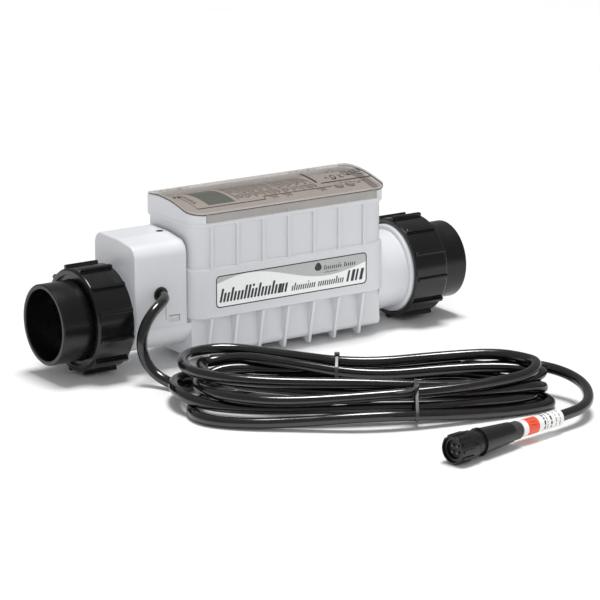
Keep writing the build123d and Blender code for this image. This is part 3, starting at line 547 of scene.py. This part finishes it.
# --- front label
LABEL_LOW, LABEL_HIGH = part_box("front_label")
LABEL_WIDE = (LABEL_HIGH.x - LABEL_LOW.x) / MM
LABEL_TALL = (LABEL_HIGH.z - LABEL_LOW.z) / MM
INK_MM = 0.06
FRAME_MM = (0.15, 1.15)    # from the label's edge to the outside and the inside of the printed frame
FRAME_CORNER_MM = (3.85, 3.2)
FIELD_CHAMFER_MM = 3.6
WAVE_KNOTS = [(-30.0, 16.0), (33.0, 27.0), (114.0, 13.2), (200.0, 28.5)]
WAVE_STEPS = 60
# Each row of strokes: start, end, base, short and tall height, stroke width, and its pattern.
LABEL_WORDS = [
    (3.5, 72.5, 4.7, 8.0, 11.8, 2.1, "TllTlllTTdlTlllTlbll"),
    (76.5, 131.0, 4.6, 4.4, 6.6, 1.15, "lTllllldlll llllllllTlll"),
    (133.5, 151.5, 4.4, 10.0, 10.0, 2.0, "TbTb"),
    (110.0, 143.5, 18.4, 2.9, 4.2, 0.95, "Tlllllldl Tlllll"),
    (110.0, 125.0, 15.6, 1.0, 1.5, 0.5, "lllTlllllTll"),
]
DROP_AT, DROP_R_MM = (104.2, 22.0), (3.4, 3.6)


def on_label(u, v, height):
    """Point on the label, by millimetres from its lower left corner and out from its face."""
    return Vector((LABEL_LOW.x + u * MM, LABEL_LOW.y - height * MM, LABEL_LOW.z + v * MM))


def wave(u):
    """Height of the printed wave: half cosines between its knots."""
    for (u0, v0), (u1, v1) in zip(WAVE_KNOTS, WAVE_KNOTS[1:]):
        if u <= u1:
            return v0 + (v1 - v0) * (1 - cos(pi * (u - u0) / (u1 - u0))) / 2
    return WAVE_KNOTS[-1][1]


def word_marks(u0, u1, base, low_tall, high_tall, stroke, pattern):
    """Abstract stand-in for a printed word: slanted strokes with even gaps.

    The pattern has l for a short stroke, T for a tall one, b for a broad one, d for one with a
    dot above it, and a space for a gap.
    """
    pitch = (u1 - u0) / len(pattern)
    marks = []
    for i, kind in enumerate(pattern):
        if kind == " ":
            continue
        tall = high_tall if kind == "T" else low_tall
        wide = stroke * (1.5 if kind == "b" else 1.0)
        start = u0 + pitch * i - base * LEAN
        marks.append(leaning(rounded(start, start + wide, base, base + tall, stroke * 0.3, 2)))
        if kind == "d":
            dot = rounded(start, start + wide, base + tall + stroke * 0.8, base + tall + stroke * 1.9,
                          stroke * 0.4, 2)
            marks.append(leaning(dot))
    return marks


def drop_outline():
    """Plain drop, narrower at its top."""
    (u, v), (wide, tall) = DROP_AT, DROP_R_MM
    turns = [2 * pi * i / 24 for i in range(24)]
    return [(u + wide * cos(a) * (1 - 0.35 * sin(a)), v + tall * sin(a)) for a in turns]


def add_label_print():
    """Frame, strokes and drop in dark ink, and the grey field above the wave."""
    bm = bmesh.new()
    outer, inner = (rounded(edge, LABEL_WIDE - edge, edge, LABEL_TALL - edge, corner, 6)
                    for edge, corner in zip(FRAME_MM, FRAME_CORNER_MM))
    rings = [[bm.verts.new(on_label(u, v, h)) for u, v in ring]
             for ring, h in ((outer, 0), (outer, INK_MM), (inner, INK_MM), (inner, 0))]
    join_rings(bm, rings + rings[:1])
    marks = [mark for word in LABEL_WORDS for mark in word_marks(*word)]
    for outline in marks + [drop_outline()]:
        add_plate(bm, outline, on_label, 2 * INK_MM)
    finish_piece("label_print_dark", bm, "housing", paint["print_dark"])
    bm = bmesh.new()
    low, chamfer = FRAME_MM[1], FIELD_CHAMFER_MM
    right, top = LABEL_WIDE - low, LABEL_TALL - low
    across = [low + (LABEL_WIDE - 2 * low) * i / WAVE_STEPS for i in range(WAVE_STEPS + 1)]
    field = [(u, min(wave(u), top - 0.1)) for u in across]
    field += [(right, LABEL_TALL - chamfer), (LABEL_WIDE - chamfer, top), (chamfer, top),
              (low, LABEL_TALL - chamfer)]
    add_plate(bm, field, on_label, INK_MM * 0.7)
    finish_piece("label_print_grey", bm, "housing", paint["print_grey"])


# --- print on the panel under the lid, and on the lid
def surface_of(name):
    """A node's faces, ready to be met by straight lines."""
    mesh = nodes[name].data
    return BVHTree.FromPolygons([v.co for v in mesh.vertices], [p.vertices for p in mesh.polygons])


panel_surface = surface_of("panel_overlay")
lid_surface = surface_of("lid")
LIFT_MM = 0.02             # keeps ink off the face that it lies on
DOWN = Vector((0, 0, -1))
LINE_PITCH_MM = 2.1
WORD_GAP_MM = 1.1
COLUMNS_AT = (-19.0, -9.5, 0.0, 9.5, 19.0, 29.5, 39.0, 48.5, 57.0)
GREEN_BLOCK = ((-38.0, 29.0), (-38.0, -13.0), 27.0)      # its ends and its width
# Thin rules of the panel: their ends and their width.
PANEL_RULES = [
    ((-65.0, 26.0), (-65.0, -17.0), 0.6), ((-65.0, -17.0), (3.5, -17.0), 1.3),
    ((3.5, -17.0), (4.8, -11.6), 0.7), ((4.8, -11.6), (106.0, -11.6), 1.3),
]
ICON_SHAPES = {
    "ring": [(cos(2 * pi * i / 16), sin(2 * pi * i / 16)) for i in range(17)],
    "frame": [(-1, -1), (1, -1), (1, 1), (-1, 1), (-1, -1)],
    "up": [(-0.8, -0.2), (0, 0.8), (0.8, -0.2)],
    "down": [(-0.8, 0.2), (0, -0.8), (0.8, 0.2)],
}
ICON_SIZE_MM = (2.1, 3.57)             # half width, and half depth from front to back
ICONS = [(71.0, -10.4, "up"), (78.0, -9.2, "ring"), (85.5, -7.0, "down"), (93.0, -5.4, "frame"),
         (100.5, -4.0, "up"), (107.5, -2.6, "frame")]
ICON_STROKES = [(74.0, -13.4), (83.0, -11.6), (92.0, -9.4), (99.0, -7.2), (104.5, -10.2)]
# Rules on the lid: their ends, their width, and the step that follows the lid's curve.
LID_RULES = [((56.0, 9.0), (56.8, -15.6), 2.4, 2), ((60.0, -18.2), (112.0, -18.2), 1.7, 4)]
LID_DOTS, DOT_R_MM = [(-80.6, -5.0), (-76.4, -5.0)], (1.2, 1.9)
LID_DASHES = [(77.0 + 4.4 * i, -21.6 - 0.4 * i) for i in range(6)]


def on_panel(u, v, height):
    """Point on the curved panel below the lid at X = u, Y = v, in millimetres."""
    spot = panel_surface.ray_cast(Vector((u * MM, v * MM, 1.0)), DOWN)[0]
    z = spot.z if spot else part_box("panel_overlay")[0].z
    return Vector((u * MM, v * MM, z + (height + LIFT_MM) * MM))


def on_lid(u, v, height):
    """Point on the lid's upper face at X = u, Y = v, in millimetres."""
    z = lid_surface.ray_cast(Vector((u * MM, v * MM, 1.0)), DOWN)[0].z
    return Vector((u * MM, v * MM, z + (height + LIFT_MM) * MM))


def text_column(bm, u, v_top, v_low, lines, seed):
    """Lines of short strokes that run from back to front, as small print looks from arm's length."""
    for line in range(lines):
        at, column = v_top, u + LINE_PITCH_MM * line
        for word in range(12):
            size = 1.6 + 0.9 * ((seed + 5 * line + 3 * word) % 4)
            if at - size < v_low:
                break
            add_band(bm, [(column, at), (column, at - size)], 1.0, on_panel, INK_MM)
            at -= size + WORD_GAP_MM


def add_panel_print():
    """Rules and text columns in brown ink, and one green block."""
    bm = bmesh.new()
    for start, end, width in PANEL_RULES:
        add_band(bm, [start, end], width, on_panel, INK_MM, 4)
    for i, u in enumerate(COLUMNS_AT):
        text_column(bm, u + 1.8, v_top=28.0, v_low=2.0, lines=3, seed=i)
        text_column(bm, u + 1.8, v_top=-0.5, v_low=-10.0, lines=3, seed=i + 2)
        add_band(bm, [(u - 0.6, 29.0), (u - 0.6, -10.5)], 0.9, on_panel, INK_MM)
    text_column(bm, -61.5, v_top=22.0, v_low=-8.0, lines=2, seed=3)
    for u in (10.0, 24.0, 60.0):
        text_column(bm, u, v_top=-13.0, v_low=-19.0, lines=4, seed=4)
    finish_piece("panel_print_brown", bm, "housing", paint["print_brown"])
    bm = bmesh.new()
    back, front, width = GREEN_BLOCK
    add_band(bm, [back, front], width, on_panel, INK_MM)
    finish_piece("panel_print_green", bm, "housing", paint["print_green"])


def add_lid_print():
    """Crisp marks on the lid itself: two dots, a corner of two rules, pictograms and short strokes."""
    bm = bmesh.new()
    for start, end, width, step in LID_RULES:
        add_band(bm, [start, end], width, on_lid, INK_MM, step)
    wide, deep = DOT_R_MM
    for u, v in LID_DOTS:
        dot = [(u + wide * cos(pi * i / 8), v + deep * sin(pi * i / 8)) for i in range(16)]
        add_plate(bm, dot, on_lid, INK_MM)
    wide, deep = ICON_SIZE_MM
    for u, v, kind in ICONS:
        path = [(u + x * wide, v + y * deep) for x, y in ICON_SHAPES[kind]]
        add_band(bm, path, wide * 0.5, on_lid, INK_MM, 2)
    for u, v in ICON_STROKES:
        add_band(bm, [(u, v), (u + 4.6, v - 0.8)], 1.5, on_lid, INK_MM, 2)
    for u, v in LID_DASHES:
        add_band(bm, [(u, v), (u + 3.0, v - 0.4)], 0.8, on_lid, INK_MM, 2)
    piece = finish_piece("lid_print_dark", bm, "lid", paint["print_black"])
    piece.visible_shadow = False


# --- painted shade: a dark strip along the lid's lower edge in place of the shaded gap and the dark refracted edge, and the latch in the cover's window
LID_THICK_MM = 2.4
LID_CORNER_MM = 15.0
# sizes of the painted-shade strip under the lid's edge
RIM_LOW_MM, RIM_TALL_MM, RIM_DEEP_MM, RIM_PROUD_MM = 0.05, 0.7, 0.8, 0.06
RIM_STEP_MM = 3.0
RIM_PROBE_MM = 0.6         # how far inside the edge the lid's height is read


def add_lid_edge_painted_shade():
    """Painted shade: a dark strip for the shaded gap and dark refracted edge under the lid. It runs down
    the left end, along the front and up the right end, and stops at the hinge.
    """
    low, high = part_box("lid")
    steps = 10
    outline = rounded(low.x / MM, high.x / MM, low.y / MM, -low.y / MM, LID_CORNER_MM, steps)
    outline = outline[steps + 1 + steps // 2:] + outline[:steps // 2]
    path = []
    for (u0, v0), (u1, v1) in zip(outline, outline[1:]):
        count = max(1, round(hypot(u1 - u0, v1 - v0) / RIM_STEP_MM))
        path += [(u0 + (u1 - u0) * i / count, v0 + (v1 - v0) * i / count) for i in range(count)]
    rows = []
    bm = bmesh.new()
    for i, (u, v) in enumerate(path):
        (ua, va), (ub, vb) = path[max(i - 1, 0)], path[min(i + 1, len(path) - 1)]
        size = hypot(ub - ua, vb - va)
        out = ((vb - va) / size, -(ub - ua) / size)
        above = place(u - RIM_PROBE_MM * out[0], v - RIM_PROBE_MM * out[1], 1000)
        base = lid_surface.ray_cast(above, DOWN)[0].z / MM - LID_THICK_MM
        corners = ((RIM_PROUD_MM, RIM_LOW_MM), (-RIM_DEEP_MM, RIM_LOW_MM), (-RIM_DEEP_MM, RIM_TALL_MM),
                   (RIM_PROUD_MM, RIM_TALL_MM))
        rows.append([bm.verts.new(place(u + out[0] * a, v + out[1] * a, base + b)) for a, b in corners])
    join_rings(bm, rows)
    cap_ends(bm, rows)
    finish_piece("lid_edge_painted_shade", bm, "lid", paint["rim"])


LATCH_X, LATCH_Z = (-104.5, -93.7), (-5.2, 0.2)   # Z from the water line
# Outlines of the latch, from its back to the bottom of its pocket: how far each is set in from
# the latch's edge, and how deep it lies behind the cover's face.
LATCH_RINGS = ((-1.2, 3.2), (-1.2, 2.55), (0.35, 2.55), (0.35, 0.75), (0.75, 0.45), (1.5, 0.45),
               (1.9, 1.1), (2.4, 1.1))


def add_latch():
    """Spring tongue that shows in the cover's window, with a shallow pocket for a fingertip."""
    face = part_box("flow_switch_cover")[0].y / MM
    axis = AXIS_Z / MM
    bm = bmesh.new()
    rings = []
    for inset, depth in LATCH_RINGS:
        loop = rounded(LATCH_X[0] + inset, LATCH_X[1] - inset, LATCH_Z[0] + inset, LATCH_Z[1] - inset,
                       0.25 if inset > 0 else 0.5, 3)
        rings.append([bm.verts.new(place(u, face + depth, axis + v)) for u, v in loop])
    join_rings(bm, rings)
    cap_ends(bm, rings)
    finish_piece("cover_latch", bm, "housing", paint["cover"])


# --- cable ties, drawn round the strands that pass through them
TIE_WIDE_MM, TIE_THICK_MM = 2.8, 0.9
FLOOR_GAP_MM = 0.05
LOOP_STEPS = 96
LOCK_HALF_MM, LOCK_CORNER_MM = (2.3, 2.2), 0.6
LOCK_SECTIONS = ((-0.4, 0.9), (0.1, 1.0), (1.5, 1.0), (1.9, 0.86))     # height, share of full size
TAIL_STEPS, TAIL_TURN = 28, radians(70)
TAIL_HALF_MM, TAIL_TAPER_MM = 1.6, 0.45
TAIL_LOW_MM, TAIL_HIGH_MM, TOOTH_MM = 0.6, 1.5, 0.18


def tie_frame(name, heading):
    """Middle of a CAD tie, the way its cord runs, and the way across it."""
    low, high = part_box(name)
    along = Vector((cos(radians(heading)), sin(radians(heading)), 0))
    return (low + high) / 2, along, Vector((-along.y, along.x, 0))


def crossings(centreline, centre, along, across, reach, low_z, high_z):
    """Where the cord runs through the tie's plane: distance across it and height."""
    found = []
    for a, b in zip(centreline, centreline[1:]):
        da, db = (a - centre).dot(along), (b - centre).dot(along)
        if da * db < 0:
            at = a.lerp(b, da / (da - db))
            side = (at - centre).dot(across)
            if abs(side) < reach and low_z < at.z < high_z:
                found.append((side, at.z))
    return found


def hull_loop(points, gap):
    """Closed loop drawn tight round circles at the points: support points by direction."""
    loop = []
    for i in range(LOOP_STEPS):
        angle = 2 * pi * i / LOOP_STEPS
        way = (cos(angle), sin(angle))
        far = max(points, key=lambda p: p[0] * way[0] + p[1] * way[1])
        loop.append((far[0] + gap * way[0], max(far[1] + gap * way[1], FLOOR_GAP_MM * MM)))
    return loop


def tie_ring(bm, centre, across, along, loop, offset):
    """One edge loop of a strap, from (distance across, height) points in the tie's plane."""
    flat = Vector((centre.x, centre.y, 0)) + along * offset
    return [bm.verts.new(flat + across * s + Vector((0, 0, z))) for s, z in loop]


def add_tie(name, heading, centreline, reach_mm, lowest_mm, lock_at, tail_mm):
    """Strap round the strands within reach and above lowest_mm, with its lock at a share of the loop."""
    centre, along, across = tie_frame(name, heading)
    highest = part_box(name)[1].z + 2 * MM
    strands = crossings(centreline, centre, along, across, reach_mm * MM, lowest_mm * MM, highest)
    bm = bmesh.new()
    gaps = (0.0, TIE_THICK_MM * 0.7, TIE_THICK_MM)
    inner, middle, outer = (hull_loop(strands, (CORD_MM / 2 + gap) * MM) for gap in gaps)
    half, rim = TIE_WIDE_MM * MM / 2, 0.3 * MM
    sections = ((inner, -half), (middle, -half), (outer, -half + rim), (outer, half - rim),
                (middle, half), (inner, half))
    rings = [tie_ring(bm, centre, across, along, loop, offset) for loop, offset in sections]
    join_rings(bm, rings + rings[:1])
    at = int(lock_at * len(outer))
    side, height = outer[at]
    base = Vector((centre.x, centre.y, 0)) + across * side + Vector((0, 0, height))
    turn = 2 * pi * lock_at
    up = across * cos(turn) + Vector((0, 0, sin(turn)))
    way = along.cross(up)
    add_lock(bm, base, way, along, up)
    if tail_mm:
        add_tail(bm, base, way, along, up, tail_mm)
    piece = finish_piece(name + "_strap", bm, "housing", paint["strap"])
    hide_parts(name)


def add_lock(bm, base, way, along, up):
    """Square head of the tie, with chamfered edges."""
    rings = []
    for height, share in LOCK_SECTIONS:
        wide, deep = (half * share for half in LOCK_HALF_MM)
        corners = rounded(-wide, wide, -deep, deep, LOCK_CORNER_MM, 3)
        rings.append([bm.verts.new(base + (way * u + along * v + up * height) * MM) for u, v in corners])
    join_rings(bm, rings)
    cap_ends(bm, rings)


def add_tail(bm, base, way, along, up, length_mm):
    """Free end of the strap: it leaves the lock and curves along the bundle, ratchet teeth up."""
    rows = []
    for i in range(TAIL_STEPS + 1):
        share = i / TAIL_STEPS
        turn = TAIL_TURN * share
        offset = way * sin(turn) * 0.75 - along * (1 - cos(turn)) * 1.1 + up * 0.10 * share
        spot = base + offset * length_mm * MM
        ahead = (way * cos(turn) - along * sin(turn)).normalized()
        side = up.cross(ahead).normalized()
        high = TAIL_HIGH_MM - TOOTH_MM * (i % 2)
        wide = TAIL_HALF_MM - TAIL_TAPER_MM * max(i - TAIL_STEPS + 2, 0)
        section = ((-wide, TAIL_LOW_MM), (wide, TAIL_LOW_MM), (wide, high), (-wide, high))
        rows.append([bm.verts.new(spot + (side * a + up * b) * MM) for a, b in section])
    join_rings(bm, rows)
    cap_ends(bm, rows)


# --- tag on the cord: coloured band and small marks wrapped round the sleeve
CONNECTOR_FACE = place(-67.5, -378.78, 12.1)
CONNECTOR_AXIS = Vector((0.983, 0.184, 0.0)).normalized()
CONNECTOR_SIDE = Vector((-CONNECTOR_AXIS.y, CONNECTOR_AXIS.x, 0))
TAG_R_MM = 6.6
RED_BAND_MM = (81.5, 94.0)             # from the connector's face
PATCH_MM, PATCH_WIDE_MM = 84.5, 4.5    # middle of the amber patch, and its width
TAG_ROWS = ((100.5, 1.6), (103.5, 0.7), (108.0, 1.7), (113.5, 0.6), (118.0, 0.7))  # place, stroke
TAG_STEP = 6.0             # degrees between the points of a curved mark


def on_tag(angle_deg, along_mm, height):
    """Point on the tag's sleeve, by angle round it from straight up and distance from the face."""
    angle = radians(angle_deg)
    out = Vector((0, 0, cos(angle))) - CONNECTOR_SIDE * sin(angle)
    return CONNECTOR_FACE + CONNECTOR_AXIS * along_mm * MM + out * (TAG_R_MM + LIFT_MM + height) * MM


def add_red_band():
    bm = bmesh.new()
    steps, (start, end) = 64, RED_BAND_MM
    rings = [[bm.verts.new(on_tag(360 * i / steps, along, height)) for i in range(steps)]
             for along, height in ((start, 0), (start, 0.10), (end, 0.10), (end, 0))]
    join_rings(bm, rings + rings[:1])
    return finish_piece("tag_band_red", bm, "housing", paint["print_orange"])


def add_tag_print():
    """Red band near the connector, an amber patch on it, and rows of short marks across the film."""
    pieces = [add_red_band()]
    bm = bmesh.new()
    add_band(bm, [(-62.0, PATCH_MM), (-22.0, PATCH_MM)], PATCH_WIDE_MM, on_tag, 0.16, TAG_STEP)
    pieces.append(finish_piece("tag_patch_amber", bm, "housing", paint["print_amber"]))
    bm = bmesh.new()
    for row, (along, wide) in enumerate(TAG_ROWS):
        angle = -60.0
        while angle < 130:
            size = 14 + 9 * ((row + int(angle)) % 3)
            add_band(bm, [(angle, along), (angle + size, along)], wide, on_tag, INK_MM, TAG_STEP)
            angle += size + 9
    for angle in (12.0, 40.0, 62.0):
        add_band(bm, [(angle, PATCH_MM), (angle + 6, 91.0)], 2.0, on_tag, 0.18, 2.0)
    pieces.append(finish_piece("tag_print_dark", bm, "housing", paint["print_dark"]))
    return pieces


# --- stage
FLOOR_HALF_M = 9.0
FLOOR_Z = -0.0002          # just under the lowest part
KEY_WAY = (-0.08, -0.03, -1.0)


def add_floor():
    """Wide sweep of paper under the object."""
    bm = bmesh.new()
    bmesh.ops.create_grid(bm, x_segments=8, y_segments=8, size=FLOOR_HALF_M)
    mesh = bpy.data.meshes.new("floor")
    bm.to_mesh(mesh)
    bm.free()
    mesh.materials.append(floor_paint())
    floor = bpy.data.objects.new("floor", mesh)
    floor.location.z = FLOOR_Z
    bpy.context.scene.collection.objects.link(floor)


def add_soft_light(name, spot, aim, wide, tall, watts):
    """Large panel of light that shines from spot to aim and leaves no reflection of itself."""
    light = bpy.data.lights.new(name, "AREA")
    light.shape = "RECTANGLE"
    light.size, light.size_y = wide, tall
    light.energy = watts
    lamp = bpy.data.objects.new(name, light)
    lamp.location = spot
    lamp.rotation_euler = (Vector(aim) - lamp.location).to_track_quat("-Z", "Y").to_euler()
    lamp.visible_glossy = False
    bpy.context.scene.collection.objects.link(lamp)


def add_lights():
    """Even sky, a soft sun from above, and a panel in front."""
    world = bpy.data.worlds.new("studio")
    world.use_nodes = True
    sky = world.node_tree.nodes["Background"].inputs
    sky["Color"].default_value = (1.0, 1.0, 1.0, 1)
    sky["Strength"].default_value = 0.30
    bpy.context.scene.world = world
    key = bpy.data.lights.new("overhead_key", "SUN")
    key.energy = 2.75
    key.angle = radians(21)
    lamp = bpy.data.objects.new("overhead_key", key)
    lamp.rotation_euler = Vector(KEY_WAY).to_track_quat("-Z", "Y").to_euler()
    bpy.context.scene.collection.objects.link(lamp)
    add_soft_light("front_fill", spot=(-1.2, -2.3, 0.9), aim=(0, -0.1, 0.05), wide=4.0, tall=2.4,
                   watts=36.0)
    bpy.context.scene.view_settings.view_transform = "Standard"


add_camera()
cord_piece, cord_line = add_cord()
paint_nodes()
add_label_print()
add_panel_print()
add_lid_print()
add_tie("cable_tie_back", -37.0, cord_line, reach_mm=12.0, lowest_mm=20.0, lock_at=0.25, tail_mm=0.0)
add_tie("cable_tie_front", -34.0, cord_line, reach_mm=34.0, lowest_mm=2.0, lock_at=0.28, tail_mm=24.0)
add_lid_edge_painted_shade()
add_latch()
tag_pieces = add_tag_print()
add_floor()
add_lights()
